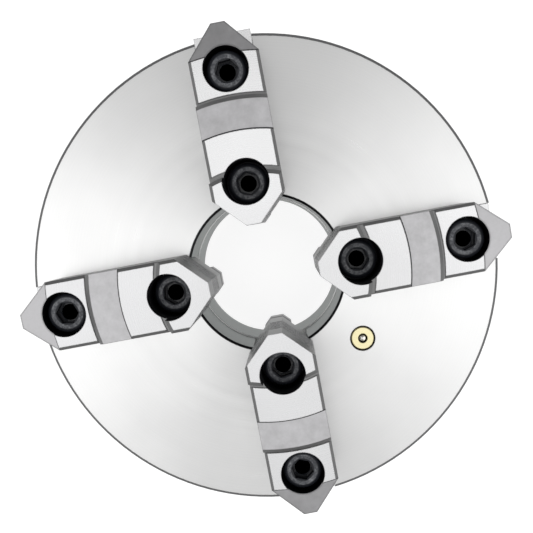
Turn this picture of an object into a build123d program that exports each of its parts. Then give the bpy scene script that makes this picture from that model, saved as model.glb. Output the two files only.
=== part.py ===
"""Four-jaw self-centring scroll chuck, 200 mm, with two-piece reversible jaws.

The chuck axis is Z. The back face that meets the spindle flange lies in z = 0 and the front face
looks along +Z. Jaw 1 points along +X, jaws 2 to 4 follow every 90 degrees, and the four pinions
sit halfway between them. Each named piece is written to its own STEP file in parts/.
"""
from build123d import *
import math
import os

os.makedirs("parts", exist_ok=True)

# Driving dimensions, in millimetres.
BODY_R = 100.0
BODY_H = 75.0
BORE_R = 32.5
FRONT_BORE_R = 33.2
RIM_CHAMFER = 1.2

# Spindle side: register recess, cover seat and tapped mounting holes.
REGISTER_R = 82.5
REGISTER_DEPTH = 5.0
COVER_SEAT_R = 80.5
COVER_T = 3.5
MOUNT_R = 90.0
MOUNT_HOLE_R = 4.25
MOUNT_HOLE_DEPTH = 25.0

# Hollow that holds the scroll plate, around a central hub.
HUB_R = 43.0
CAVITY_R = 79.0
CAVITY_TOP = 47.5

# Scroll: a flat spiral thread on the front of a ring, bevel teeth on its back.
PITCH = 9.0
THREAD_W = 4.0
THREAD_TOP = CAVITY_TOP - 0.4
GROOVE_Z = CAVITY_TOP - 6.0
PLATE_R = CAVITY_R - 0.3
PLATE_BORE_R = HUB_R + 0.05
SPIRAL_START_R = 45.4
SPIRAL_END_R = 76.4
ARCS_PER_TURN = 6

# Bevel gears.
MODULE = 1.75
PINION_TEETH = 12
GEAR_TEETH = 84
PRESSURE = math.radians(20)
BACKLASH = 0.25
PINION_Z = 22.5
PINION_PITCH_R = MODULE * PINION_TEETH / 2
GEAR_PITCH_R = MODULE * GEAR_TEETH / 2
GEAR_INNER_R = 59.5
PLATE_BACK = PINION_Z + PINION_PITCH_R

# Pinion body, from its inner journal to the head with the square key socket.
HEAD_R = 12.45
HEAD_START = 75.6
HEAD_END = 99.2
JOURNAL_R = 6.0
JOURNAL_END = 36.2
SOCKET_AF = 11.0
SOCKET_DEPTH = 18.0
LOCK_SCREW_R = 3.0
LOCK_X = 91.0
LOCK_GROOVE_R = 9.6

# Jaws. Lengths are measured outward from the chuck axis.
TIP_X = 21.3
TIP_HALF = 2.75
TOP_HALF = 14.0
TOP_END_X = 100.5
OUTER_POINT_LENGTH = 13.3
MASTER_HALF = 11.97
MASTER_END_X = (98.5, 101.0, 98.5, 98.5)
SCREW_X = (37.8, 82.25)
SEAT_Z = BODY_H + 0.5
STEP_Z = (122.0, 114.0, 105.6)
STEP_R = (41.6, 70.6)
LAND_R = (57.3, 87.8)
EDGE_CHAMFER = 1.2

# Gripping ribs across the nose of each top jaw.
RIB_PITCH = 4.0
RIB_GROOVE_W = 2.4
RIB_GROOVE_DEPTH = 0.6
RIB_GROOVES = 7
FIRST_RIB_GROOVE_Z = 78.0

# Guide rails of the body, which run in grooves along both sides of each master jaw.
RAIL_Z = (54.6, 60.4)
RAIL_HALF = 6.1
SLOT_HALF = MASTER_HALF + 0.08
SLOT_FLOOR = GROOVE_Z
WEB_HALF = 5.95
FOOT_Z = CAVITY_TOP + 0.1
TOOTH_TIP_Z = GROOVE_Z + 0.5
TOOTH_HALF = 9.0
TOOTH_CLEAR = 0.3
TRAVEL = 18.0

# Tongue and groove that locate a top jaw on its master jaw.
KEY_HALF = 3.97
KEY_H = 3.0
CROSS_HALF = 6.34
CROSS_DEPTH = 3.0

# M10 socket head cap screws.
M10_R = 5.0
M10_HEAD_R = 8.0
M10_HEAD_H = 10.0
M10_LENGTH = 25.0
M10_SOCKET_AF = 8.0
HEAD_SEAT_Z = 89.0
COUNTERBORE_R = 9.0

# Ball oiler in the front face.
OILER_R = 50.4
OILER_ANGLE = 315.0
OILER_BODY_R = 5.5
OILER_DEPTH = 9.0
BALL_R = 2.25
BALL_MOUTH_R = 1.9
BALL_CHAMBER_R = 2.6

UP = (Align.CENTER, Align.CENTER, Align.MIN)


def disc(radius, z0, z1):
    """Solid cylinder on the chuck axis between two heights."""
    return Pos(0, 0, z0) * Cylinder(radius, z1 - z0, align=UP)


def ring(outer, inner, z0, z1):
    return disc(outer, z0, z1) - disc(inner, z0, z1)


def block(x0, x1, half, z0, z1):
    """Box from x0 to x1, centred on the jaw's line."""
    return Pos((x0 + x1) / 2, 0, z0) * Box(x1 - x0, 2 * half, z1 - z0, align=UP)


def turn(angle):
    return Rot(0, 0, angle)


def radial_rod(radius, x0, x1, z):
    """Cylinder lying along +X."""
    return Pos(x0, 0, z) * Rot(0, 90, 0) * Cylinder(radius, x1 - x0, align=UP)


def swept(points):
    """Solid of revolution about Z from (radius, height) points."""
    outline = make_face(Polyline(*[(r, 0, z) for r, z in points], close=True))
    return revolve(outline, Axis.Z)


def prism(points, z0, z1):
    """Upright prism over a closed plan outline."""
    return Pos(0, 0, z0) * extrude(make_face(Polyline(*points, close=True)), z1 - z0)


def hex_prism(across_flats, z0, z1):
    return Pos(0, 0, z0) * extrude(RegularPolygon(across_flats / 2, 6, major_radius=False), z1 - z0)


def save(shape, name):
    shape.label = name
    export_step(shape, "parts/" + name + ".step")


def group(solids):
    return Compound(children=list(solids))


# ---- Chuck body -----------------------------------------------------------------------------
def jaw_slot():
    """Guideway for one master jaw: wide above and below, narrow between the two rails."""
    start = BORE_R - 6
    slot = block(start, BODY_R + 5, SLOT_HALF, SLOT_FLOOR, RAIL_Z[0])
    slot += block(start, BODY_R + 5, RAIL_HALF, RAIL_Z[0], RAIL_Z[1])
    slot += block(start, BODY_R + 5, SLOT_HALF, RAIL_Z[1], BODY_H + 1)
    return slot


def pinion_hole():
    hole = radial_rod(HEAD_R + 0.05, CAVITY_R - 1, BODY_R + 5, PINION_Z)
    hole += radial_rod(JOURNAL_R + 0.05, JOURNAL_END - 0.4, HUB_R + 1, PINION_Z)
    return hole


def chuck_body():
    outline = [
        (BORE_R, 0), (BODY_R - 1.0, 0), (BODY_R, 1.0), (BODY_R, BODY_H - RIM_CHAMFER),
        (BODY_R - RIM_CHAMFER, BODY_H), (FRONT_BORE_R + 1.0, BODY_H),
        (FRONT_BORE_R, BODY_H - 1.0), (FRONT_BORE_R, GROOVE_Z), (BORE_R, GROOVE_Z),
    ]
    body = swept(outline)
    cover_seat = REGISTER_DEPTH + COVER_T
    body -= disc(REGISTER_R, 0, REGISTER_DEPTH)
    body -= disc(COVER_SEAT_R, REGISTER_DEPTH, cover_seat)
    body -= ring(CAVITY_R, HUB_R, cover_seat, CAVITY_TOP)
    for i in range(4):
        body -= turn(90 * i) * jaw_slot()
        body -= turn(90 * i + 45) * pinion_hole()
        body -= turn(90 * i) * Pos(MOUNT_R, 0, 0) * Cylinder(MOUNT_HOLE_R, MOUNT_HOLE_DEPTH, align=UP)
        body -= turn(90 * i + 45) * Pos(LOCK_X, 0, 0) * Cylinder(LOCK_SCREW_R, PINION_Z, align=UP)
    for i in range(COVER_SCREWS):
        body -= turn(cover_screw_angle(i)) * Pos(COVER_SCREW_R, 0, cover_seat) * Cylinder(2.0, 11, align=UP)
    at_oiler = turn(OILER_ANGLE) * Pos(OILER_R, 0, 0)
    body -= at_oiler * Pos(0, 0, BODY_H - OILER_DEPTH) * Cylinder(OILER_BODY_R, OILER_DEPTH + 1, align=UP)
    body -= at_oiler * Pos(0, 0, CAVITY_TOP - 1) * Cylinder(1.5, BODY_H - CAVITY_TOP, align=UP)
    return body


# ---- Back cover and its screws --------------------------------------------------------------
COVER_SCREWS = 8
COVER_SCREW_R = (BORE_R + HUB_R) / 2


def cover_screw_angle(i):
    return 22.5 + 45 * i


def back_cover():
    """Thin ring plate with four skirts that stop the scroll plate from sliding back."""
    z0 = REGISTER_DEPTH
    z1 = z0 + COVER_T
    cover = ring(COVER_SEAT_R - 0.05, BORE_R + 0.5, z0, z1)
    skirt_top = PLATE_BACK + 2.0
    skirts = ring(CAVITY_R - 0.3, CAVITY_R - 4.0, z1, skirt_top)
    for i in range(4):
        skirts -= turn(90 * i + 45) * block(60, 90, 22, z1, skirt_top)
    cover += skirts
    countersink = Cone(2.2, 2.2 + 2.3, 2.3, align=UP)
    for i in range(COVER_SCREWS):
        at_screw = turn(cover_screw_angle(i)) * Pos(COVER_SCREW_R, 0, 0)
        cover -= at_screw * Pos(0, 0, z0) * Cylinder(2.2, COVER_T, align=UP)
        cover -= at_screw * Pos(0, 0, z0 + 2.3) * Rot(180, 0, 0) * countersink
    return cover


def cover_screw():
    """M4 countersunk screw, head at the back, with a hex socket."""
    head = Pos(0, 0, 2.1) * Rot(180, 0, 0) * Cone(2.0, 4.0, 2.0, align=UP)
    screw = head + Pos(0, 0, 2.0) * Cylinder(2.0, 10.0, align=UP)
    return screw - hex_prism(2.5, 0, 1.8)


# ---- Scroll plate ---------------------------------------------------------------------------
def spiral_radius(angle):
    """Centre line of the thread: it gains one pitch in each turn."""
    return SPIRAL_START_R + PITCH * angle / (2 * math.pi)


def spiral_thread():
    turns = (SPIRAL_END_R - SPIRAL_START_R) / PITCH
    arcs = math.ceil(ARCS_PER_TURN * turns)
    outer = []
    inner = []
    for i in range(2 * arcs + 1):
        angle = math.pi * turns * i / arcs
        r = spiral_radius(angle)
        outer.append(((r + THREAD_W / 2) * math.cos(angle), (r + THREAD_W / 2) * math.sin(angle)))
        inner.append(((r - THREAD_W / 2) * math.cos(angle), (r - THREAD_W / 2) * math.sin(angle)))
    edges = [Line(outer[-1], inner[-1]), Line(inner[0], outer[0])]
    for i in range(0, 2 * arcs, 2):
        edges.append(ThreePointArc(*outer[i:i + 3]))
        edges.append(ThreePointArc(*inner[i:i + 3]))
    face = make_face(edges)
    return Pos(0, 0, GROOVE_Z - 0.5) * extrude(face, THREAD_TOP - GROOVE_Z + 0.5)


def gear_tooth():
    """One bevel tooth, straight sided, tapering toward the point where the gear axes meet."""
    addendum = 0.7 * MODULE
    dedendum = 1.3 * MODULE + 0.3
    half = math.pi * MODULE / 4 - BACKLASH / 2
    slope = math.tan(PRESSURE)
    sections = []
    for x in (GEAR_INNER_R, GEAR_PITCH_R):
        k = x / GEAR_PITCH_R
        tip = PINION_Z + (PINION_PITCH_R - addendum) * k
        root = PINION_Z + (PINION_PITCH_R + dedendum) * k
        tip_half = (half - addendum * slope) * k
        root_half = (half + dedendum * slope) * k
        corners = [(x, -root_half, root), (x, -tip_half, tip), (x, tip_half, tip), (x, root_half, root)]
        sections.append(make_face(Polyline(*corners, close=True)))
    return loft(sections)


def scroll_plate():
    plate = ring(PLATE_R, PLATE_BORE_R, PLATE_BACK, GROOVE_Z)
    plate -= ring(PLATE_R + 1, GEAR_PITCH_R, PLATE_BACK - 1, PLATE_BACK + 2.5)
    root_far = PINION_Z + PINION_PITCH_R + 1.3 * MODULE
    root_near = PINION_Z + (PINION_PITCH_R + 1.3 * MODULE) * GEAR_INNER_R / GEAR_PITCH_R
    plate -= swept([
        (GEAR_INNER_R, PLATE_BACK - 1), (GEAR_PITCH_R + 0.01, PLATE_BACK - 1),
        (GEAR_PITCH_R + 0.01, root_far), (GEAR_INNER_R, max(root_near, PLATE_BACK - 0.9)),
    ])
    plate += spiral_thread()
    tooth = gear_tooth()
    teeth = [turn(45 + 360 / GEAR_TEETH * i) * tooth for i in range(GEAR_TEETH)]
    return plate.fuse(*teeth)


# ---- Pinions --------------------------------------------------------------------------------
def involute(angle):
    return math.tan(angle) - angle


def pinion_outline(scale):
    """Closed plan of the pinion's teeth, as (across, up) points about its own axis."""
    base_r = PINION_PITCH_R * math.cos(PRESSURE)
    tip_r = PINION_PITCH_R + MODULE
    root_r = PINION_PITCH_R - 0.7 * MODULE - 0.4
    half_at_pitch = (math.pi * MODULE / 4 - BACKLASH / 2) / PINION_PITCH_R
    radii = [base_r, PINION_PITCH_R, tip_r]
    flank = [(root_r, half_at_pitch + involute(PRESSURE))]
    for r in radii:
        flank.append((r, half_at_pitch + involute(PRESSURE) - involute(math.acos(base_r / r))))
    points = []
    for tooth in range(PINION_TEETH):
        middle = 2 * math.pi * (tooth + 0.5) / PINION_TEETH
        for r, half in flank:
            points.append((r * scale, middle - half))
        for r, half in reversed(flank):
            points.append((r * scale, middle + half))
    return [(r * math.sin(angle), r * math.cos(angle)) for r, angle in points]


def pinion():
    """Pinion 1 lying along +X: journal, bevel teeth, grooved head and square key socket."""
    sections = []
    gear_end = GEAR_PITCH_R + 0.3
    for x in (GEAR_INNER_R - 0.3, gear_end):
        outline = pinion_outline(x / GEAR_PITCH_R)
        corners = [(x, across, PINION_Z + up) for across, up in outline]
        sections.append(make_face(Polyline(*corners, close=True)))
    piece = loft(sections, ruled=True)
    piece += radial_rod(JOURNAL_R, JOURNAL_END, GEAR_INNER_R + 0.5, PINION_Z)
    piece += radial_rod(HEAD_R - 0.25, gear_end - 0.1, HEAD_START, PINION_Z)
    piece += radial_rod(HEAD_R, HEAD_START, HEAD_END, PINION_Z)
    groove_w = 2 * (LOCK_SCREW_R + 0.3)
    groove = radial_rod(HEAD_R + 1, LOCK_X - groove_w / 2, LOCK_X + groove_w / 2, PINION_Z)
    groove -= radial_rod(LOCK_GROOVE_R, LOCK_X - groove_w / 2, LOCK_X + groove_w / 2, PINION_Z)
    piece -= groove
    socket = Pos(HEAD_END - SOCKET_DEPTH / 2, 0, PINION_Z) * Box(SOCKET_DEPTH + 0.02, SOCKET_AF, SOCKET_AF)
    return piece - socket


def lock_screw():
    """M6 dog-point screw that keeps a pinion in its hole."""
    z0 = 0.6
    tip = PINION_Z - LOCK_GROOVE_R - 0.3
    shank_end = PINION_Z - HEAD_R - 0.1
    screw = Pos(0, 0, z0) * Cylinder(LOCK_SCREW_R, shank_end - z0, align=UP)
    screw += Pos(0, 0, shank_end - 0.1) * Cylinder(LOCK_SCREW_R - 0.3, tip - shank_end + 0.1, align=UP)
    return Pos(LOCK_X, 0, 0) * (screw - hex_prism(3.0, z0 - 0.1, z0 + 3.5))


# ---- Jaws -----------------------------------------------------------------------------------
def pointed_plan(half, end_x, pointed_end):
    """Plan of a jaw: a blunt 45-degree point inward, and a slightly longer one outward when asked."""
    rise = half - TIP_HALF
    right = [(end_x, -half), (end_x, half)]
    if pointed_end:
        shoulder_x = end_x - OUTER_POINT_LENGTH
        right = [(shoulder_x, -half), (end_x, -TIP_HALF), (end_x, TIP_HALF), (shoulder_x, half)]
    left = [(TIP_X + rise, half), (TIP_X, TIP_HALF), (TIP_X, -TIP_HALF), (TIP_X + rise, -half)]
    return right + left


def jaw_tooth(centre_x):
    """One curved tooth, shaped to clear the spiral over the whole travel of the jaw."""
    near = max(centre_x - TRAVEL, SPIRAL_START_R)
    far = min(centre_x + TRAVEL, SPIRAL_END_R + 2)
    half_t = (PITCH - THREAD_W) / 2 - TOOTH_CLEAR
    lean = PITCH / (2 * math.pi) / ((near + far) / 2)

    def face_points(x_mid, radius):
        cx = x_mid - radius * math.cos(lean)
        cy = radius * math.sin(lean)
        ys = (-TOOTH_HALF, 0.0, TOOTH_HALF)
        return [(cx + math.sqrt(radius ** 2 - (y - cy) ** 2), y) for y in ys]

    outer = face_points(centre_x + half_t, near)
    inner = face_points(centre_x - half_t, far)
    edges = [ThreePointArc(*outer), Line(outer[2], inner[2]), ThreePointArc(*inner), Line(inner[0], outer[0])]
    return Pos(0, 0, TOOTH_TIP_Z) * extrude(make_face(edges), FOOT_Z - TOOTH_TIP_Z + 0.5)


def master_jaw(index):
    """Master jaw 1 to 4 lying along +X. Each set of teeth is a quarter pitch further out."""
    end_x = MASTER_END_X[index]
    plan = pointed_plan(MASTER_HALF, end_x, False)
    outline = prism(plan, FOOT_Z, SEAT_Z + KEY_H)
    jaw = block(TIP_X, end_x, MASTER_HALF, RAIL_Z[1] + 0.15, SEAT_Z)
    jaw += block(TIP_X, end_x, WEB_HALF, FOOT_Z, RAIL_Z[1] + 0.2)
    jaw += block(BORE_R + 1.3, end_x, MASTER_HALF, FOOT_Z, RAIL_Z[0] - 0.15)
    jaw += block(TIP_X, end_x, KEY_HALF, SEAT_Z, SEAT_Z + KEY_H)
    jaw &= outline
    middle = sum(SCREW_X) / 2
    jaw -= block(middle - CROSS_HALF, middle + CROSS_HALF, MASTER_HALF + 1, SEAT_Z - CROSS_DEPTH, SEAT_Z + 5)
    for x in SCREW_X:
        jaw -= Pos(x, 0, HEAD_SEAT_Z - M10_LENGTH - 1.5) * Cylinder(M10_R, M10_LENGTH, align=UP)
    first = spiral_radius(math.pi / 2 * index) + PITCH / 2
    while first > BORE_R + 4 + PITCH:
        first -= PITCH
    centre_x = first
    while centre_x < 93:
        jaw += jaw_tooth(centre_x)
        centre_x += PITCH
    return jaw


def stepped_cutter():
    """Everything above the steps of a top jaw, turned about the chuck axis."""
    nose, middle, outer = STEP_Z
    wall_1, wall_2 = STEP_R
    land_1, land_2 = LAND_R
    profile = [
        (wall_1 - 1.5, nose), (wall_1, nose - 1.5), (wall_1, middle - 0.8), (wall_1 + 2.0, middle - 0.8),
        (wall_1 + 2.0, middle), (land_1, middle), (land_1, middle - 1.6), (wall_2 - 1.5, middle - 1.9),
        (wall_2, middle - 3.4), (wall_2, outer - 0.8), (wall_2 + 1.6, outer - 0.8), (wall_2 + 1.6, outer),
        (land_2, outer), (land_2, outer - 1.5), (TOP_END_X + 2, outer - 4.5),
        (TOP_END_X + 2, nose + 2), (wall_1 - 1.5, nose + 2),
    ]
    return swept(profile)


def long_edge_cutter(top_z):
    """Two wedges that chamfer the long edges of a block whose top is at top_z."""
    far = TOP_HALF + 1
    near = TOP_HALF - EDGE_CHAMFER
    wedge_plan = [(0, far, top_z - EDGE_CHAMFER - 1), (0, far, top_z + 1), (0, near - 1, top_z + 1)]
    wedge = extrude(make_face(Polyline(*wedge_plan, close=True)), 130, dir=(1, 0, 0))
    return [wedge, mirror(wedge, Plane.XZ)]


def rib_grooves():
    """Level grooves that leave ribs across the blunt point and both flanks of the nose."""
    reach = TOP_HALF + 2
    bottom_x = TIP_X + RIB_GROOVE_DEPTH
    near = TIP_HALF + RIB_GROOVE_DEPTH * (1 - math.sqrt(2))
    far = near + reach
    core = [(bottom_x, -near), (bottom_x + reach, -far), (bottom_x + reach, far), (bottom_x, near)]
    grooves = []
    for i in range(RIB_GROOVES):
        z0 = FIRST_RIB_GROOVE_Z + RIB_PITCH * i
        slab = block(TIP_X - 1, TIP_X + TOP_HALF, TOP_HALF + 1, z0, z0 + RIB_GROOVE_W)
        grooves.append(slab - prism(core, z0 - 1, z0 + RIB_GROOVE_W + 1))
    return grooves


def top_jaw():
    plan = pointed_plan(TOP_HALF, TOP_END_X, True)
    jaw = None
    for top_z, limit in zip(STEP_Z, (STEP_R[0], STEP_R[1], 200.0)):
        level = prism(plan, SEAT_Z, top_z)
        for wedge in long_edge_cutter(top_z):
            level -= wedge
        level &= disc(limit, SEAT_Z, top_z)
        jaw = level if jaw is None else jaw + level
    jaw -= stepped_cutter()
    jaw -= block(0, 130, KEY_HALF + 0.05, SEAT_Z, SEAT_Z + KEY_H + 0.3)
    middle = sum(SCREW_X) / 2
    jaw += block(middle - CROSS_HALF + 0.02, middle + CROSS_HALF - 0.02, MASTER_HALF - 0.5,
                 SEAT_Z - CROSS_DEPTH + 0.3, SEAT_Z + KEY_H + 1)
    for x in SCREW_X:
        jaw -= Pos(x, 0, SEAT_Z - 5) * Cylinder(M10_R + 0.5, 30, align=UP)
        jaw -= Pos(x, 0, HEAD_SEAT_Z) * Cylinder(COUNTERBORE_R, 50, align=UP)
    return jaw - rib_grooves()


def cap_screw():
    """M10 socket head cap screw standing on its tip, head seat at HEAD_SEAT_Z."""
    head = Pos(0, 0, HEAD_SEAT_Z) * Cylinder(M10_HEAD_R, M10_HEAD_H, align=UP)
    head = chamfer(head.edges().group_by(Axis.Z)[-1], 0.8)
    shank = Pos(0, 0, HEAD_SEAT_Z - M10_LENGTH) * Cylinder(M10_R, M10_LENGTH, align=UP)
    shank = chamfer(shank.edges().group_by(Axis.Z)[0], 0.8)
    top = HEAD_SEAT_Z + M10_HEAD_H
    return head + shank - hex_prism(M10_SOCKET_AF, top - 5.5, top + 1)


# ---- Ball oiler -----------------------------------------------------------------------------
def oiler_body():
    z0 = BODY_H - OILER_DEPTH
    piece = Pos(0, 0, z0) * Cylinder(OILER_BODY_R, OILER_DEPTH - 0.1, align=UP)
    piece -= Pos(0, 0, z0 + 0.8) * Cylinder(BALL_CHAMBER_R, OILER_DEPTH - 2.0, align=UP)
    piece -= Pos(0, 0, z0 - 1) * Cylinder(0.8, 4, align=UP)
    piece -= Pos(0, 0, z0) * Cylinder(BALL_MOUTH_R, OILER_DEPTH, align=UP) & Pos(0, 0, z0 + 4) * Box(9, 9, 9, align=UP)
    return piece


def oiler_parts():
    place = turn(OILER_ANGLE) * Pos(OILER_R, 0, 0)
    lip_z = BODY_H - 1.2
    ball_z = lip_z - math.sqrt(BALL_R ** 2 - BALL_MOUTH_R ** 2) - 0.04
    wire_r = 0.25
    coil_r = 1.5
    low = BODY_H - OILER_DEPTH + 0.8 + wire_r + 0.02
    high = ball_z - math.sqrt(BALL_R ** 2 - coil_r ** 2) - wire_r - 0.1
    path = Helix(pitch=(high - low) / 4, height=high - low, radius=coil_r)
    wire = Plane(origin=path @ 0, z_dir=path % 0) * Circle(wire_r)
    spring = Pos(0, 0, low) * sweep(wire, path=path)
    ball = Pos(0, 0, ball_z) * Sphere(BALL_R)
    return place * oiler_body(), place * spring, place * ball


save(chuck_body(), "chuck_body")
save(back_cover(), "back_cover")
screw = Pos(COVER_SCREW_R, 0, REGISTER_DEPTH + 0.1) * cover_screw()
save(group(turn(cover_screw_angle(i)) * screw for i in range(COVER_SCREWS)), "back_cover_screws")
save(scroll_plate(), "scroll_plate")
one_pinion = pinion()
for i in range(4):
    save(turn(45 + 90 * i) * one_pinion, "pinion_" + str(i + 1))
save(group(turn(45 + 90 * i) * lock_screw() for i in range(4)), "pinion_lock_screws")
one_top_jaw = top_jaw()
screws = [Pos(x, 0, 0) * cap_screw() for x in SCREW_X]
for i in range(4):
    number = str(i + 1)
    save(turn(90 * i) * master_jaw(i), "master_jaw_" + number)
    save(turn(90 * i) * one_top_jaw, "top_jaw_" + number)
    save(group(turn(90 * i) * s for s in screws), "jaw_screws_" + number)
oiler, spring, ball = oiler_parts()
save(oiler, "oiler_body")
save(spring, "oiler_spring")
save(ball, "oiler_ball")
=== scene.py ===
"""Four-jaw self-centring lathe chuck, 200 mm, lying on its back face with the jaws up.

Every piece is in metres in the chuck's own frame: the axis is Z, the back face is at height 0,
the front face is at 75 mm, and jaw 1 points along +X.
"""

import math
from typing import NamedTuple

import bmesh
import bpy
from mathutils import Matrix, Vector


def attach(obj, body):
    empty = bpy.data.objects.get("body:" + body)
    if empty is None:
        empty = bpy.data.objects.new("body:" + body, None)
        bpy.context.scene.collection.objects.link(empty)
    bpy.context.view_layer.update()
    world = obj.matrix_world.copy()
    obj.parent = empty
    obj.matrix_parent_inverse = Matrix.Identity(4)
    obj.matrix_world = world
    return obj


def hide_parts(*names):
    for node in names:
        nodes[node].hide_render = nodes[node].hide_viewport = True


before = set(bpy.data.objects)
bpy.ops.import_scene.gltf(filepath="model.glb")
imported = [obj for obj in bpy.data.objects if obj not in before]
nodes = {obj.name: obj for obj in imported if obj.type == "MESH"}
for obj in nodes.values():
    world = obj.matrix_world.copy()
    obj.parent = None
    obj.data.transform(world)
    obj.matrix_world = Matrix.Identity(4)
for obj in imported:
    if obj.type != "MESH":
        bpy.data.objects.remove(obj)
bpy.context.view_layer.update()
MM = 0.001

# ---- Chuck body ------------------------------------------------------------------------------
# One casting of fine-grained iron, turned and ground all over. Facing leaves rings about the axis,
# and turning the rim and the bore leaves rings along it. Corners keep a small broken edge.
FACE_IRON = (0.83, 0.83, 0.825)
FACE_IRON_DULL = (0.70, 0.70, 0.70)
BORE_WALL_SHADE = (0.23, 0.255, 0.245)
BORE_WALL_SHADE_DARK = (0.10, 0.112, 0.108)
OUTSIDE_IRON = (0.58, 0.58, 0.58)
OUTSIDE_DULL = (0.38, 0.38, 0.38)
RIM_SHADE = (0.12, 0.12, 0.122)
RIM_SHADE_BAND = (98.75 * MM, 100.2 * MM)
RIM_SHADE_SOFT = 0.7 * MM
RIM_SHADE_SHARE = 0.75
BORE_EDGE_SHADE = (0.03, 0.03, 0.032)
BORE_R = 33.2 * MM
BORE_CORNER_W = 1.3 * MM
FINE_RINGS = 0.35 * MM
WIDE_RINGS = 4.0 * MM
RING_DEPTH = 0.004 * MM
HAZE_SCALE = 28.0
EDGE_ROUND = 0.3 * MM
EDGE_LINE_W = 0.45 * MM
EDGE_LINE_SHARE = 0.7
FLAT_AGREEMENT = 0.985
LEVEL_FROM = 0.85
CHAMFER_FROM = 0.3
FACING_STRETCH = 0.75


def new_finish(name, metallic, roughness):
    """A new finish: the material, its node tree and its shader."""
    finish = bpy.data.materials.new(name)
    finish.use_nodes = True
    tree = finish.node_tree
    shader = tree.nodes["Principled BSDF"]
    shader.inputs["Metallic"].default_value = metallic
    shader.inputs["Roughness"].default_value = roughness
    return finish, tree, shader


def feed(tree, socket, value):
    """Gives a socket either another socket's output or a plain value."""
    if isinstance(value, bpy.types.NodeSocket):
        tree.links.new(value, socket)
    else:
        socket.default_value = value


def calc(tree, operation, *terms, clamp=False):
    """One step of arithmetic on sockets or plain values."""
    step = tree.nodes.new("ShaderNodeMath")
    step.operation = operation
    step.use_clamp = clamp
    for socket, term in zip(step.inputs, terms):
        feed(tree, socket, term)
    return step.outputs[0]


def band(tree, value, low, high, soft):
    """1 between low and high, falling to 0 over the soft width at both ends."""
    rise = calc(tree, "DIVIDE", calc(tree, "SUBTRACT", value, low), soft, clamp=True)
    fall = calc(tree, "DIVIDE", calc(tree, "SUBTRACT", high, value), soft, clamp=True)
    return calc(tree, "MULTIPLY", rise, fall)


def mix_number(tree, factor, first, second):
    """The first value where the factor is 0, the second where it is 1."""
    step = tree.nodes.new("ShaderNodeMix")
    for socket, value in zip(step.inputs[:1] + step.inputs[2:4], (factor, first, second)):
        feed(tree, socket, value)
    return step.outputs[0]


def mix_colour(tree, factor, first, second):
    """The first colour where the factor is 0, the second where it is 1."""
    step = tree.nodes.new("ShaderNodeMix")
    step.data_type = "RGBA"
    sockets = (step.inputs[0], step.inputs[6], step.inputs[7])
    for socket, value in zip(sockets, (factor, first, second)):
        feed(tree, socket, (*value, 1.0) if isinstance(value, tuple) else value)
    return step.outputs[2]


def cloud(tree, where, scale, detail=3.0, roughness=0.55):
    """Soft mottling in three dimensions, from 0 to 1."""
    noise = tree.nodes.new("ShaderNodeTexNoise")
    feed(tree, noise.inputs["Vector"], where)
    feed(tree, noise.inputs["Scale"], scale)
    feed(tree, noise.inputs["Detail"], detail)
    feed(tree, noise.inputs["Roughness"], roughness)
    return noise.outputs["Fac"]


def tool_lines(tree, distance, spacing, detail=2.0):
    """Uneven parallel lines left by a tool or a wheel, about one spacing apart."""
    noise = tree.nodes.new("ShaderNodeTexNoise")
    noise.noise_dimensions = "1D"
    feed(tree, noise.inputs["W"], calc(tree, "DIVIDE", distance, spacing))
    feed(tree, noise.inputs["Scale"], 1.0)
    feed(tree, noise.inputs["Detail"], detail)
    return noise.outputs["Fac"]


def broken_edge(tree, radius):
    """Normal that rounds sharp corners over a small radius."""
    edge = tree.nodes.new("ShaderNodeBevel")
    edge.samples = 4
    feed(tree, edge.inputs["Radius"], radius)
    return edge.outputs["Normal"]


def corner_line(tree, rounded, sharpness=9.0):
    """1 along the piece's sharp corners, where the rounded normal leaves the flat one."""
    flat = tree.nodes.new("ShaderNodeNewGeometry")
    agree = tree.nodes.new("ShaderNodeVectorMath")
    agree.operation = "DOT_PRODUCT"
    feed(tree, agree.inputs[0], rounded)
    feed(tree, agree.inputs[1], flat.outputs["Normal"])
    apart = calc(tree, "SUBTRACT", FLAT_AGREEMENT, agree.outputs["Value"])
    return calc(tree, "MULTIPLY", apart, sharpness, clamp=True)


def relief(tree, height, depth, normal):
    """Raises fine marks on a surface, as deep as given, over its rounded normal."""
    bump = tree.nodes.new("ShaderNodeBump")
    feed(tree, bump.inputs["Height"], height)
    feed(tree, bump.inputs["Distance"], depth)
    feed(tree, bump.inputs["Normal"], normal)
    return bump.outputs["Normal"]


def far_from(tree, along, across):
    """Length of the line with these two square sides."""
    return calc(tree, "SQRT", calc(tree, "ADD", calc(tree, "MULTIPLY", along, along),
                                   calc(tree, "MULTIPLY", across, across)))


class Spot(NamedTuple):
    """A point on a piece: its place, its distance from the chuck axis, and how its face lies."""
    point: bpy.types.NodeSocket
    x: bpy.types.NodeSocket
    y: bpy.types.NodeSocket
    z: bpy.types.NodeSocket
    radius: bpy.types.NodeSocket
    level: bpy.types.NodeSocket
    corner: bpy.types.NodeSocket


def places(tree):
    """The spot being shaded. Level is 1 on faces square to the axis, corner is 1 on chamfers."""
    at = tree.nodes.new("ShaderNodeTexCoord")
    split = tree.nodes.new("ShaderNodeSeparateXYZ")
    feed(tree, split.inputs[0], at.outputs["Object"])
    facing = tree.nodes.new("ShaderNodeSeparateXYZ")
    feed(tree, facing.inputs[0], at.outputs["Normal"])
    x, y, z = split.outputs
    upright = calc(tree, "ABSOLUTE", facing.outputs[2])
    level = calc(tree, "GREATER_THAN", upright, LEVEL_FROM)
    corner = band(tree, upright, CHAMFER_FROM, LEVEL_FROM, 0.02)
    return Spot(at.outputs["Object"], x, y, z, far_from(tree, x, y), level, corner)


def dress(name, finish):
    """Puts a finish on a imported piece."""
    for material_slot in nodes[name].material_slots:
        material_slot.material = finish


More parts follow.
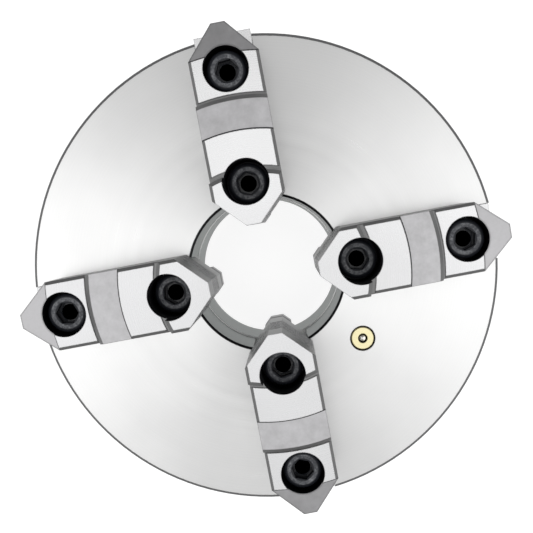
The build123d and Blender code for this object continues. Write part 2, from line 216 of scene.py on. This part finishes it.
def around_axis(tree, shader, amount):
    """Stretches the gloss across the turned rings, as on a faced plate."""
    tangent = tree.nodes.new("ShaderNodeTangent")
    tangent.direction_type = "RADIAL"
    tangent.axis = "Z"
    feed(tree, shader.inputs["Tangent"], tangent.outputs[0])
    shader.inputs["Anisotropic"].default_value = amount
    shader.inputs["Anisotropic Rotation"].default_value = 0.25


body_finish, tree, shader = new_finish("turned_iron", 1.0, 0.3)
here = places(tree)
travel = mix_number(tree, here.level, here.z, here.radius)
rings = tool_lines(tree, travel, FINE_RINGS)
wide_rings = tool_lines(tree, travel, WIDE_RINGS)
haze = cloud(tree, here.point, HAZE_SCALE)
dull = calc(tree, "ADD", calc(tree, "MULTIPLY", rings, 0.35), calc(tree, "MULTIPLY", haze, 0.5))
colour = mix_colour(tree, dull, FACE_IRON, FACE_IRON_DULL)
# The bore wall is painted much darker than the face, as painted shade inside the bore, streaked along its
# turning rings; the outside wall is painted a darker grey than the face.
in_bore = calc(tree, "LESS_THAN", here.radius, BORE_R + BORE_CORNER_W)
upright = calc(tree, "SUBTRACT", 1.0, here.level)
wall = calc(tree, "MULTIPLY", in_bore, upright)
bore_wall = mix_colour(tree, calc(tree, "MULTIPLY", wide_rings, haze), BORE_WALL_SHADE_DARK, BORE_WALL_SHADE)
colour = mix_colour(tree, wall, colour, bore_wall)
outside = calc(tree, "MULTIPLY", calc(tree, "SUBTRACT", 1.0, in_bore), upright)
outside_grey = mix_colour(tree, dull, OUTSIDE_IRON, OUTSIDE_DULL)
colour = mix_colour(tree, outside, colour, outside_grey)
# Chamfers are painted dark grey at the rim and near-black at the bore, as painted shade.
corners = mix_colour(tree, in_bore, RIM_SHADE, BORE_EDGE_SHADE)
rounded = broken_edge(tree, EDGE_ROUND)
# Every sharp edge gets a thin painted dark line, a painted shade along the edge.
painted_edge_shade = calc(tree, "MULTIPLY", corner_line(tree, broken_edge(tree, EDGE_LINE_W)), EDGE_LINE_SHARE)
colour = mix_colour(tree, painted_edge_shade, colour, RIM_SHADE)
# A band on the face just inside the rim is painted dark, as painted shade outlining the rim.
rim_shade = calc(tree, "MULTIPLY", band(tree, here.radius, *RIM_SHADE_BAND, RIM_SHADE_SOFT), here.level)
colour = mix_colour(tree, calc(tree, "MULTIPLY", rim_shade, RIM_SHADE_SHARE), colour, RIM_SHADE)
feed(tree, shader.inputs["Base Color"], mix_colour(tree, here.corner, colour, corners))
rough = calc(tree, "ADD", 0.2, calc(tree, "MULTIPLY", rings, 0.08))
rough = calc(tree, "ADD", rough, calc(tree, "MULTIPLY", haze, 0.1))
feed(tree, shader.inputs["Roughness"], calc(tree, "ADD", rough, calc(tree, "MULTIPLY", wide_rings, 0.06)))
feed(tree, shader.inputs["Normal"], relief(tree, rings, RING_DEPTH, rounded))
around_axis(tree, shader, FACING_STRETCH)
dress("chuck_body", body_finish)

# ---- Back cover and its screws ---------------------------------------------------------------
# A turned steel ring that closes the back of the chuck, held by eight countersunk M4 screws. It is
# faced in one cut, so its rings are coarser than the body's, and it is left a little oily. Its
# screws and the pinions' lock screws are blacked steel.
COVER_STEEL = (0.50, 0.50, 0.49)
COVER_STEEL_OILED = (0.34, 0.335, 0.32)
COVER_RINGS = 0.6 * MM
COVER_RING_DEPTH = 0.008 * MM
OIL_PATCHES = 45.0

cover_finish, tree, shader = new_finish("faced_steel", 1.0, 0.36)
here = places(tree)
rings = tool_lines(tree, mix_number(tree, here.level, here.z, here.radius), COVER_RINGS)
oil = cloud(tree, here.point, OIL_PATCHES, 4.0)
feed(tree, shader.inputs["Base Color"], mix_colour(tree, oil, COVER_STEEL_OILED, COVER_STEEL))
feed(tree, shader.inputs["Roughness"], calc(tree, "ADD", 0.24, calc(tree, "MULTIPLY", rings, 0.22)))
feed(tree, shader.inputs["Normal"], relief(tree, rings, COVER_RING_DEPTH, broken_edge(tree, 0.2 * MM)))
dress("back_cover", cover_finish)

BLACKING = (0.012, 0.013, 0.017)
BLACKING_DEEP = (0.004, 0.005, 0.007)
BLACKING_WORN = (0.030, 0.032, 0.038)
RUBBED_AND_LIT = (0.17, 0.175, 0.185)
BLACKING_GRAIN = 900.0
BLACKING_PATCHES = 160.0

black_finish, tree, shader = new_finish("black_oxide", 0.0, 0.4)
here = places(tree)
grain = cloud(tree, here.point, BLACKING_GRAIN)
patches = cloud(tree, here.point, BLACKING_PATCHES)
feed(tree, shader.inputs["Base Color"], mix_colour(tree, patches, BLACKING, BLACKING_WORN))
feed(tree, shader.inputs["Roughness"], calc(tree, "ADD", 0.26, calc(tree, "MULTIPLY", grain, 0.22)))
feed(tree, shader.inputs["Normal"], relief(tree, grain, 0.02 * MM, broken_edge(tree, 0.15 * MM)))
shader.inputs["Specular IOR Level"].default_value = 0.9
shader.inputs["Coat Weight"].default_value = 0.12
shader.inputs["Coat Roughness"].default_value = 0.25
for name in ("back_cover_screws", "pinion_lock_screws"):
    dress(name, black_finish)

# ---- Scroll plate and pinions ----------------------------------------------------------------
# Hardened alloy steel gears. The scroll's spiral and the bevel teeth are cut, then hardened to a
# grey-brown skin, and only the pinions' heads are ground bright where they turn in the body.
HARDENED = (0.26, 0.25, 0.235)
HARDENED_LIGHT = (0.40, 0.39, 0.37)
GROUND_HEAD = (0.62, 0.62, 0.61)
HEAD_FROM_AXIS = 75.0 * MM
SKIN_PATCHES = 120.0
GEAR_GRAIN = 1400.0

gear_finish, tree, shader = new_finish("hardened_gear_steel", 1.0, 0.38)
here = places(tree)
skin = cloud(tree, here.point, SKIN_PATCHES, 4.0)
grain = cloud(tree, here.point, GEAR_GRAIN, 2.0)
head = calc(tree, "GREATER_THAN", here.radius, HEAD_FROM_AXIS)
colour = mix_colour(tree, skin, HARDENED, HARDENED_LIGHT)
feed(tree, shader.inputs["Base Color"], mix_colour(tree, head, colour, GROUND_HEAD))
feed(tree, shader.inputs["Roughness"], calc(tree, "ADD", 0.28, calc(tree, "MULTIPLY", skin, 0.2)))
feed(tree, shader.inputs["Normal"], relief(tree, grain, 0.006 * MM, broken_edge(tree, 0.2 * MM)))
for name in ("scroll_plate", "pinion_1", "pinion_2", "pinion_3", "pinion_4"):
    dress(name, gear_finish)

# ---- Jaws ------------------------------------------------------------------------------------
# Case-hardened alloy steel. Each top jaw's seats are ground true with the chuck turning, its sides
# are ground lengthwise, and its relief band, step roots and outer slope stay as machined.
GROUND = (0.75, 0.75, 0.757)
GROUND_SOFT = (0.62, 0.62, 0.625)
GROUND_LIT = (0.93, 0.93, 0.935)
GROUND_SHADED = (0.62, 0.62, 0.628)
AS_MACHINED = (0.67, 0.665, 0.68)
AS_MACHINED_DARK = (0.35, 0.345, 0.35)
SIDE_GREY = (0.42, 0.42, 0.42)
SIDE_GREY_DARK = (0.22, 0.22, 0.22)
CORNER_SHADE = (0.16, 0.16, 0.16)
GROOVE_SHADE = (0.05, 0.05, 0.052)
SLOPE_SHADE = 0.80
STEP_SHADE_W = 0.65 * MM
ROOT_SHADE = (0.20, 0.20, 0.20)
RECESS_SHADE = (0.018, 0.018, 0.020)
LIT_OVER = 60.0 * MM
SHADED_OVER = -90.0 * MM
WHEEL_LINES = 0.3 * MM
WHEEL_DEPTH = 0.004 * MM
JAW_HAZE = 60.0
MILLED_MOTTLE = 220.0
MILLED_DEPTH = 0.02 * MM
JAW_LINE_W = 0.5 * MM
JAW_LINE_SHARE = 0.85
SLOPE_LINE_W = 1.3 * MM
SLOPE_LINE_SHARPNESS = 14.0
SLOPE_LINE_SHARE = 0.8
MASK_SOFT = 0.05 * MM
CRISP = 0.02 * MM
SCREW_AT = (37.8 * MM, 82.25 * MM)
COUNTERBORE_R = 9.0 * MM
RELIEF_BAND = (57.3 * MM, 70.8 * MM)
RELIEF_BOTTOM = 106.0 * MM
RELIEF_TOP = 112.7 * MM
SLOPE_START = 87.8 * MM
SLOPE_BOTTOM = 95.0 * MM
SLOPE_TOP = 104.4 * MM
STEP_CORNERS = (RELIEF_BAND[0], SLOPE_START)
STEP_ROOTS = ((41.5 * MM, 43.7 * MM, 113.2 * MM), (70.5 * MM, 72.3 * MM, 104.8 * MM))
GUIDE_GROOVE = (54.5 * MM, 60.5 * MM)
RIB_PITCH = 4.0 * MM
RIB_GROOVE_W = 2.4 * MM
FIRST_RIB_GROOVE_Z = 78.0 * MM
LAST_RIB_GROOVE_Z = 104.4 * MM
NOSE_REACH = 35.4 * MM


def from_screws(tree, spot):
    """Distance from the axis of the nearest jaw screw, the same in all four jaws."""
    size_x, size_y = calc(tree, "ABSOLUTE", spot.x), calc(tree, "ABSOLUTE", spot.y)
    along = calc(tree, "MAXIMUM", size_x, size_y)
    across = calc(tree, "MINIMUM", size_x, size_y)
    inner, outer = (far_from(tree, calc(tree, "SUBTRACT", along, screw_x), across)
                    for screw_x in SCREW_AT)
    return calc(tree, "MINIMUM", inner, outer)


jaw_finish, tree, shader = new_finish("ground_jaw_steel", 1.0, 0.28)
here = places(tree)
fine = tool_lines(tree, mix_number(tree, here.level, here.z, here.radius), WHEEL_LINES)
haze = cloud(tree, here.point, JAW_HAZE)
mottle = cloud(tree, here.point, MILLED_MOTTLE, 5.0, 0.65)
ground = mix_colour(tree, calc(tree, "MULTIPLY", haze, fine), GROUND, GROUND_SOFT)
# The ground faces are painted lighter toward +Y and darker toward -X, as painted light and shade across
# the chuck.
ground = mix_colour(tree, calc(tree, "DIVIDE", here.y, LIT_OVER, clamp=True), ground, GROUND_LIT)
ground = mix_colour(tree, calc(tree, "DIVIDE", here.x, SHADED_OVER, clamp=True), ground, GROUND_SHADED)

# The relief band and the outer slope keep their milled skin.
machined = mix_colour(tree, mottle, AS_MACHINED_DARK, AS_MACHINED)
relief_mask = calc(tree, "MULTIPLY", band(tree, here.radius, *RELIEF_BAND, MASK_SOFT),
                   calc(tree, "LESS_THAN", here.z, RELIEF_TOP))
relief_mask = calc(tree, "MULTIPLY", relief_mask, calc(tree, "GREATER_THAN", here.z, RELIEF_BOTTOM))
slope_mask = calc(tree, "MULTIPLY", calc(tree, "GREATER_THAN", here.radius, SLOPE_START),
                  calc(tree, "LESS_THAN", here.z, SLOPE_TOP))
slope_mask = calc(tree, "MULTIPLY", slope_mask, calc(tree, "GREATER_THAN", here.z, SLOPE_BOTTOM))
# The outer slope is painted darker than the relief band, as painted shade on its tilted face.
shaded_slope = tuple(SLOPE_SHADE * part for part in AS_MACHINED)
slope = mix_colour(tree, mottle, AS_MACHINED_DARK, shaded_slope)
machined = mix_colour(tree, slope_mask, machined, slope)
rough_mask = calc(tree, "MULTIPLY", calc(tree, "ADD", relief_mask, slope_mask, clamp=True), here.level)
colour = mix_colour(tree, rough_mask, ground, machined)

# The sides are greyer, partly from their lengthwise grinding and partly as painted shade on the upright
# faces. The guide groove is painted near-black and the grooves between the ribs of the nose dark, as
# painted shade in these recesses.
sides = mix_colour(tree, fine, SIDE_GREY_DARK, SIDE_GREY)
in_guide = band(tree, here.z, *GUIDE_GROOVE, CRISP)
sides = mix_colour(tree, in_guide, sides, RECESS_SHADE)
up_nose = calc(tree, "DIVIDE", calc(tree, "SUBTRACT", here.z, FIRST_RIB_GROOVE_Z), RIB_PITCH)
in_rib_groove = calc(tree, "LESS_THAN", calc(tree, "FRACT", up_nose), RIB_GROOVE_W / RIB_PITCH)
on_nose = calc(tree, "MULTIPLY", calc(tree, "LESS_THAN", here.radius, NOSE_REACH),
               band(tree, here.z, FIRST_RIB_GROOVE_Z, LAST_RIB_GROOVE_Z, CRISP))
sides = mix_colour(tree, calc(tree, "MULTIPLY", in_rib_groove, on_nose), sides, GROOVE_SHADE)
colour = mix_colour(tree, here.level, sides, colour)

# Chamfers, step corners, step roots, sharp edges and counterbore walls are painted dark, as painted
# shade.
corner_mask = calc(tree, "MULTIPLY", here.corner, calc(tree, "SUBTRACT", 1.0, slope_mask))
colour = mix_colour(tree, corner_mask, colour, CORNER_SHADE)
for start in STEP_CORNERS:
    line = band(tree, here.radius, start, start + STEP_SHADE_W, MASK_SOFT)
    shadow = calc(tree, "MULTIPLY", line, here.level)
    colour = mix_colour(tree, shadow, colour, GROOVE_SHADE)
root_shade_mask = 0.0
for near, far, floor_z in STEP_ROOTS:
    root = calc(tree, "MULTIPLY", band(tree, here.radius, near, far, MASK_SOFT),
                band(tree, here.z, floor_z - 0.3 * MM, floor_z + 0.7 * MM, MASK_SOFT))
    root_shade_mask = calc(tree, "ADD", root_shade_mask, root, clamp=True)
colour = mix_colour(tree, root_shade_mask, colour, ROOT_SHADE)
counterbore_shade_mask = calc(tree, "LESS_THAN", from_screws(tree, here), COUNTERBORE_R + CRISP)
rounded = broken_edge(tree, EDGE_ROUND)
painted_edge_shade = calc(tree, "MULTIPLY", corner_line(tree, broken_edge(tree, JAW_LINE_W)), JAW_LINE_SHARE)
colour = mix_colour(tree, painted_edge_shade, colour, CORNER_SHADE)
slope_edge_shade = corner_line(tree, broken_edge(tree, SLOPE_LINE_W), SLOPE_LINE_SHARPNESS)
slope_edge_shade = calc(tree, "MULTIPLY", slope_edge_shade, slope_mask)
colour = mix_colour(tree, calc(tree, "MULTIPLY", slope_edge_shade, SLOPE_LINE_SHARE), colour, CORNER_SHADE)
feed(tree, shader.inputs["Base Color"], mix_colour(tree, counterbore_shade_mask, colour, RECESS_SHADE))

# The seats shine the most, the sides less, and the milled skin least of all.
rough = calc(tree, "ADD", 0.2, calc(tree, "MULTIPLY", fine, 0.1))
rough = calc(tree, "ADD", rough, calc(tree, "MULTIPLY", haze, 0.06))
rough = mix_number(tree, here.level, 0.42, rough)
feed(tree, shader.inputs["Roughness"],
     mix_number(tree, rough_mask, rough, calc(tree, "ADD", 0.36, calc(tree, "MULTIPLY", mottle, 0.2))))
normal = relief(tree, fine, WHEEL_DEPTH, rounded)
milled_marks = calc(tree, "MULTIPLY", mottle, rough_mask)
feed(tree, shader.inputs["Normal"], relief(tree, milled_marks, MILLED_DEPTH, normal))
for number in ("1", "2", "3", "4"):
    dress("master_jaw_" + number, jaw_finish)
    dress("top_jaw_" + number, jaw_finish)

# ---- Jaw screws ------------------------------------------------------------------------------
# M10 socket head cap screws, forged and rolled from alloy steel and blacked. The head's side is
# knurled, its rim is rounded over, and the hex socket ends in the hole drilled before it was cut.
HEAD_R = 8.0 * MM
HEAD_SEAT_Z = 89.0 * MM
HEAD_TOP_Z = 99.0 * MM
RIM_ROUND = 1.45 * MM
SHANK_R = 4.95 * MM
SHANK_TIP_Z = 64.0 * MM
SOCKET_AF = 8.0 * MM
SOCKET_FLOOR_Z = 93.5 * MM
MOUTH_R = 4.85 * MM
RING_START = 4.75 * MM
RING_END = 6.55 * MM
PIT_R = 0.75 * MM
PIT_STEEL = (0.75, 0.76, 0.80)
RIDGES = 44
KNURL_DEPTH = 0.22 * MM
PIT_BELOW_FLOOR = 1.3 * MM
PIT_DOME = 0.03 * MM
DRILL_R = SOCKET_AF * 0.42
MOUTH_DEPTH = 0.2 * MM
TIP_CHAMFER = 0.9 * MM
SEAT_CHAMFER = 0.4 * MM
KNURL_RUNOUT = 0.3 * MM
HEAD_GRAIN = 1100.0
WEAR_PATCHES = 400.0
RUB_LIGHT_SPECKLE = 1500.0
RUB_LIGHT_START = 0.20
RUB_LIGHT_CONTRAST = 4.5

screw_finish, tree, shader = new_finish("blacked_screw_head", 0.0, 0.4)
here = places(tree)
from_screw = from_screws(tree, here)
grain = cloud(tree, here.point, HEAD_GRAIN)
patches = cloud(tree, here.point, WEAR_PATCHES, 4.0, 0.7)
black = mix_colour(tree, patches, BLACKING, BLACKING_DEEP)
# A ring on each head's top is painted lighter, partly wear from the key and partly a painted highlight.
on_ring = calc(tree, "MULTIPLY", band(tree, from_screw, RING_START, RING_END, 0.25 * MM),
               calc(tree, "GREATER_THAN", here.z, HEAD_TOP_Z - 0.5 * MM))
speckle = cloud(tree, here.point, RUB_LIGHT_SPECKLE, 4.0, 0.7)
ring_rub_and_light = calc(tree, "SUBTRACT", calc(tree, "MULTIPLY", patches, speckle), RUB_LIGHT_START)
ring_rub_and_light = calc(tree, "MULTIPLY", ring_rub_and_light, RUB_LIGHT_CONTRAST, clamp=True)
pit = calc(tree, "MULTIPLY", calc(tree, "LESS_THAN", from_screw, PIT_R * 1.05),
           calc(tree, "LESS_THAN", here.z, SOCKET_FLOOR_Z))
black = mix_colour(tree, pit, black, PIT_STEEL)
feed(tree, shader.inputs["Metallic"], pit)
feed(tree, shader.inputs["Base Color"],
     mix_colour(tree, on_ring, black, mix_colour(tree, ring_rub_and_light, BLACKING_WORN, RUBBED_AND_LIT)))
deep = calc(tree, "MULTIPLY", calc(tree, "LESS_THAN", here.z, HEAD_TOP_Z - 4.0 * MM),
            calc(tree, "LESS_THAN", from_screw, SOCKET_AF * 0.6))
side_rough = mix_number(tree, deep, 0.5, 0.12)
feed(tree, shader.inputs["Roughness"],
     mix_number(tree, on_ring, side_rough, calc(tree, "ADD", 0.22, calc(tree, "MULTIPLY", grain, 0.2))))
feed(tree, shader.inputs["Normal"], relief(tree, grain, 0.015 * MM, broken_edge(tree, 0.1 * MM)))
shader.inputs["Specular IOR Level"].default_value = 0.35


def ring_at(mesh, radius, height, count, turned=0.0):
    """A loop of edges about the piece's own axis."""
    place = Matrix.Translation((0, 0, height)) @ Matrix.Rotation(turned, 4, "Z")
    made = bmesh.ops.create_circle(mesh, cap_ends=False, segments=count, radius=radius, matrix=place)
    edges = {edge for vert in made["verts"] for edge in vert.link_edges}
    return made["verts"], list(edges)


def bridge(mesh, first, second):
    """A skin between two loops."""
    bmesh.ops.bridge_loops(mesh, edges=first + second)


def cap_screw(mesh, socket_turn):
    """One screw standing on its tip on the Z axis, made of loops joined from the tip upward."""
    count = 2 * RIDGES
    rim_z = HEAD_TOP_Z - RIM_ROUND
    loops = [(SHANK_R - TIP_CHAMFER, SHANK_TIP_Z, False), (SHANK_R, SHANK_TIP_Z + TIP_CHAMFER, False),
             (SHANK_R, HEAD_SEAT_Z, False), (HEAD_R - SEAT_CHAMFER, HEAD_SEAT_Z, False),
             (HEAD_R, HEAD_SEAT_Z + SEAT_CHAMFER, True), (HEAD_R, rim_z - KNURL_RUNOUT, True),
             (HEAD_R - 0.02 * MM, rim_z, False)]
    for step in (0.25, 0.5, 0.75, 1.0):
        lean = step * math.pi / 2
        loops.append((HEAD_R - RIM_ROUND * (1 - math.cos(lean)),
                      rim_z + RIM_ROUND * math.sin(lean), False))
    loops.append((MOUTH_R, HEAD_TOP_Z, False))
    previous = None
    for radius, height, knurled in loops:
        verts, edges = ring_at(mesh, radius, height, count)
        if knurled:
            inner = [v for v in verts if round(math.atan2(v.co.y, v.co.x) / (2 * math.pi) * count) % 2]
            shrink = 1 - KNURL_DEPTH / HEAD_R
            bmesh.ops.scale(mesh, vec=(shrink, shrink, 1), verts=inner)
        if previous is None:
            bmesh.ops.edgeloop_fill(mesh, edges=edges)
        else:
            bridge(mesh, previous, edges)
        previous = edges
    corner_r = SOCKET_AF / math.sqrt(3)
    for height in (HEAD_TOP_Z - MOUTH_DEPTH, SOCKET_FLOOR_Z):
        verts, edges = ring_at(mesh, corner_r, height, 6, socket_turn)
        bridge(mesh, previous, edges)
        previous = edges
    for radius, height in ((DRILL_R, SOCKET_FLOOR_Z), (PIT_R, SOCKET_FLOOR_Z - PIT_BELOW_FLOOR)):
        verts, edges = ring_at(mesh, radius, height, 24)
        bridge(mesh, previous, edges)
        previous = edges
    pit = bmesh.ops.edgeloop_fill(mesh, edges=edges)["faces"]
    bottom = bmesh.ops.poke(mesh, faces=pit)["verts"]
    bmesh.ops.translate(mesh, vec=(0, 0, PIT_DOME), verts=bottom)


def finish_mesh(mesh, name, finish, smooth_below=35.0):
    """Turns a built mesh into a piece: one skin, faces outward, smooth but for real corners."""
    bmesh.ops.remove_doubles(mesh, verts=mesh.verts, dist=0.001 * MM)
    bmesh.ops.recalc_face_normals(mesh, faces=mesh.faces)
    for face in mesh.faces:
        face.smooth = True
    for edge in mesh.edges:
        edge.smooth = edge.calc_face_angle(0.0) < math.radians(smooth_below)
    data = bpy.data.meshes.new(name)
    mesh.to_mesh(data)
    mesh.free()
    data.materials.append(finish)
    piece = bpy.data.objects.new(name, data)
    bpy.context.scene.collection.objects.link(piece)
    return piece


for number in range(1, 5):
    both = bmesh.new()
    for index, screw_x in enumerate(SCREW_AT):
        one = bmesh.new()
        cap_screw(one, math.radians(17 * number + 31 * index))
        to_jaw = Matrix.Rotation(math.radians(90 * (number - 1)), 4, "Z")
        place = to_jaw @ Matrix.Translation((screw_x, 0, 0))
        bmesh.ops.transform(one, matrix=place, verts=one.verts)
        scratch = bpy.data.meshes.new("scratch")
        one.to_mesh(scratch)
        both.from_mesh(scratch)
        bpy.data.meshes.remove(scratch)
        one.free()
    screws = finish_mesh(both, "cap_screws_" + str(number), screw_finish)
    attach(screws, "jaw_" + str(number))
    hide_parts("jaw_screws_" + str(number))

# ---- Ball oiler ------------------------------------------------------------------------------
# A small brass cup pressed into the front face: a spring holds a steel ball up against its lip.
# The cup is turned, with a narrow groove around its face; the groove and a thin ring at the mouth of its
# hole are painted near-black, as painted shade.
CUP_R = 5.5 * MM
CUP_FACE_R = 4.85 * MM
CUP_BOTTOM_Z = 66.0 * MM
CUP_TOP_Z = 74.9 * MM
CHAMBER_R = 2.6 * MM
MOUTH_HOLE_R = 1.9 * MM
LIP_Z = 73.8 * MM
GROOVE_Z = 73.7 * MM
CUP_WALL = 0.8 * MM
DRAIN_R = 0.8 * MM
CUP_CHAMFER = 0.3 * MM
FACE_CHAMFER = 0.25 * MM
CUP_RINGS = 0.16 * MM
CUP_RING_DEPTH = 0.006 * MM
MOUTH_SHADE_W = 0.12 * MM
CUP_STEPS = 72
CUP_AT = Matrix.Rotation(math.radians(315), 4, "Z") @ Matrix.Translation((50.4 * MM, 0, 0))
BRASS = (0.93, 0.86, 0.55)
BRASS_DEEP = (0.80, 0.70, 0.38)
GAP_SHADE = (0.012, 0.010, 0.008)
TARNISH = 300.0
BALL_SMEARS = 700.0
DRAW_MARKS = 2500.0
BALL_STEEL = (0.80, 0.79, 0.76)
BALL_SMEARED = (0.62, 0.60, 0.55)
WIRE = (0.34, 0.33, 0.31)
WIRE_BRIGHT = (0.48, 0.47, 0.45)

brass_finish, tree, shader = new_finish("turned_brass", 1.0, 0.3)
here = places(tree)
centred = tree.nodes.new("ShaderNodeMapping")
centred.vector_type = "TEXTURE"
centred.inputs["Location"].default_value = CUP_AT.translation
feed(tree, centred.inputs["Vector"], here.point)
split = tree.nodes.new("ShaderNodeSeparateXYZ")
feed(tree, split.inputs[0], centred.outputs[0])
from_middle = far_from(tree, split.outputs[0], split.outputs[1])
rings = tool_lines(tree, from_middle, CUP_RINGS)
tarnish = cloud(tree, here.point, TARNISH)
metal = mix_colour(tree, calc(tree, "MULTIPLY", tarnish, rings), BRASS, BRASS_DEEP)
# The groove around the cup's face and a thin ring at the mouth are painted near-black, as painted shade.
gap_shade_mask = calc(tree, "ADD", calc(tree, "GREATER_THAN", from_middle, CUP_FACE_R + CRISP),
            calc(tree, "LESS_THAN", from_middle, MOUTH_HOLE_R + MOUTH_SHADE_W), clamp=True)
feed(tree, shader.inputs["Base Color"], mix_colour(tree, gap_shade_mask, metal, GAP_SHADE))
feed(tree, shader.inputs["Roughness"], calc(tree, "ADD", 0.22, calc(tree, "MULTIPLY", rings, 0.2)))
feed(tree, shader.inputs["Normal"], relief(tree, rings, CUP_RING_DEPTH, broken_edge(tree, 0.1 * MM)))

cup = bmesh.new()
outline = [(DRAIN_R, CUP_BOTTOM_Z), (CUP_R - CUP_CHAMFER, CUP_BOTTOM_Z),
           (CUP_R, CUP_BOTTOM_Z + CUP_CHAMFER), (CUP_R, GROOVE_Z), (CUP_FACE_R, GROOVE_Z),
           (CUP_FACE_R, CUP_TOP_Z - FACE_CHAMFER), (CUP_FACE_R - FACE_CHAMFER, CUP_TOP_Z),
           (MOUTH_HOLE_R + CUP_CHAMFER, CUP_TOP_Z), (MOUTH_HOLE_R, CUP_TOP_Z - CUP_CHAMFER),
           (MOUTH_HOLE_R, LIP_Z), (CHAMBER_R, LIP_Z), (CHAMBER_R, CUP_BOTTOM_Z + CUP_WALL),
           (DRAIN_R, CUP_BOTTOM_Z + CUP_WALL)]
corners = [cup.verts.new((r, 0, height)) for r, height in outline]
profile = [cup.edges.new((corners[i - 1], corners[i])) for i in range(len(corners))]
bmesh.ops.spin(cup, geom=corners + profile, cent=(0, 0, 0), axis=(0, 0, 1), angle=2 * math.pi,
               steps=CUP_STEPS, use_merge=True)
bmesh.ops.transform(cup, matrix=CUP_AT, verts=cup.verts)
oiler_cup = finish_mesh(cup, "oiler_cup", brass_finish)
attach(oiler_cup, "chuck")
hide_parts("oiler_body")

ball_finish, tree, shader = new_finish("polished_ball_steel", 1.0, 0.12)
here = places(tree)
smear = cloud(tree, here.point, BALL_SMEARS, 2.0)
feed(tree, shader.inputs["Base Color"], mix_colour(tree, smear, BALL_STEEL, BALL_SMEARED))
feed(tree, shader.inputs["Roughness"], calc(tree, "ADD", 0.08, calc(tree, "MULTIPLY", smear, 0.14)))
dress("oiler_ball", ball_finish)

spring_finish, tree, shader = new_finish("drawn_spring_wire", 1.0, 0.3)
here = places(tree)
draw_marks = cloud(tree, here.point, DRAW_MARKS, 2.0)
feed(tree, shader.inputs["Base Color"], mix_colour(tree, draw_marks, WIRE, WIRE_BRIGHT))
feed(tree, shader.inputs["Roughness"], calc(tree, "ADD", 0.22, calc(tree, "MULTIPLY", draw_marks, 0.2)))
dress("oiler_spring", spring_finish)

# ---- Studio ----------------------------------------------------------------------------------
# A plain white paper sweep under the chuck, a wide soft lamp over it, and a pale room around it
# that is brighter to both sides and darker beyond the chuck.
PAPER = (0.22, 0.22, 0.22)
PAPER_LIGHT = (0.26, 0.26, 0.26)
PAPER_GLOW = 0.85
SWEEP_SIZE = 30.0
SWEEP_DROP = 0.2 * MM
PAPER_MOTTLE = 40.0

floor_finish, tree, shader = new_finish("white_sweep", 0.0, 0.9)
here = places(tree)
paper = cloud(tree, here.point, PAPER_MOTTLE)
feed(tree, shader.inputs["Base Color"], mix_colour(tree, paper, PAPER, PAPER_LIGHT))
shader.inputs["Specular IOR Level"].default_value = 0.1
shader.inputs["Emission Color"].default_value = (1.0, 1.0, 1.0, 1.0)
shader.inputs["Emission Strength"].default_value = PAPER_GLOW
sweep = bmesh.new()
bmesh.ops.create_grid(sweep, x_segments=8, y_segments=8, size=SWEEP_SIZE)
bmesh.ops.translate(sweep, vec=(0, 0, -SWEEP_DROP), verts=sweep.verts)
floor = finish_mesh(sweep, "floor", floor_finish)

ZENITH_START = 0.15
ZENITH_FULL = 0.95
HORIZON = (0.30, 0.303, 0.306)
BRIGHTNESS = 1.06
BOTH_SIDES = 1.9
LEFT_MORE = -0.35
FAR_DARKER = -2.85
NEAR_DARKER = 0.95
NEAR_LEFT_DARKER = -2.6
DARKEST = 0.35
OVERHEAD = (1.0, 1.0, 1.0)
room = bpy.data.worlds.new("studio")
bpy.context.scene.world = room
room.use_nodes = True
tree = room.node_tree
sky = tree.nodes["Background"]
direction = tree.nodes.new("ShaderNodeTexCoord")
split = tree.nodes.new("ShaderNodeSeparateXYZ")
feed(tree, split.inputs[0], direction.outputs["Generated"])
to_side, to_far, up = split.outputs
rise = calc(tree, "SUBTRACT", up, ZENITH_START)
lift = calc(tree, "DIVIDE", rise, ZENITH_FULL - ZENITH_START, clamp=True)
feed(tree, sky.inputs["Color"], mix_colour(tree, lift, HORIZON, OVERHEAD))
far_half = calc(tree, "MAXIMUM", to_far, 0.0)
near_half = calc(tree, "MINIMUM", to_far, 0.0)
strength = BRIGHTNESS
for share, part in ((BOTH_SIDES, calc(tree, "ABSOLUTE", to_side)), (LEFT_MORE, to_side),
                    (FAR_DARKER, far_half), (NEAR_DARKER, near_half),
                    (NEAR_LEFT_DARKER, calc(tree, "MULTIPLY", to_side, near_half))):
    strength = calc(tree, "ADD", strength, calc(tree, "MULTIPLY", part, share))
feed(tree, sky.inputs["Strength"], calc(tree, "MAXIMUM", strength, DARKEST))

LAMP_AT = (0.0, 0.0, 1.6)
LAMP_SIZE = 1.4
LAMP_POWER = 14.0
overhead = bpy.data.lights.new("overhead_softbox", "AREA")
overhead.shape = "DISK"
overhead.size = LAMP_SIZE
overhead.energy = LAMP_POWER
lamp = bpy.data.objects.new("overhead_softbox", overhead)
lamp.location = LAMP_AT
lamp.visible_glossy = False
bpy.context.scene.collection.objects.link(lamp)

# ---- Camera ----------------------------------------------------------------------------------
# Close above the front face and a little below the chuck's middle, turned to the jaws' lean.
TILT = (math.radians(7.81), math.radians(0.87), math.radians(10.51))
STAND = Vector((-16.32, 43.45, -483.2)) * MM
SENSOR = 36.0
LENS = 64.05
SHIFT = (-0.06717, 0.15647)

to_camera = (Matrix.Rotation(TILT[0], 3, "X") @ Matrix.Rotation(TILT[1], 3, "Y")
             @ Matrix.Rotation(TILT[2], 3, "Z"))
camera_data = bpy.data.cameras.new("camera")
camera_data.sensor_width = SENSOR
camera_data.lens = LENS
camera_data.shift_x, camera_data.shift_y = SHIFT
camera_data.clip_start = 0.01
camera_data.dof.use_dof = False
camera = bpy.data.objects.new("camera", camera_data)
from_camera = to_camera.transposed()
camera.matrix_world = Matrix.Translation(from_camera @ -STAND) @ from_camera.to_4x4()
bpy.context.scene.collection.objects.link(camera)
bpy.context.scene.camera = camera
bpy.context.scene.view_settings.view_transform = "Standard"
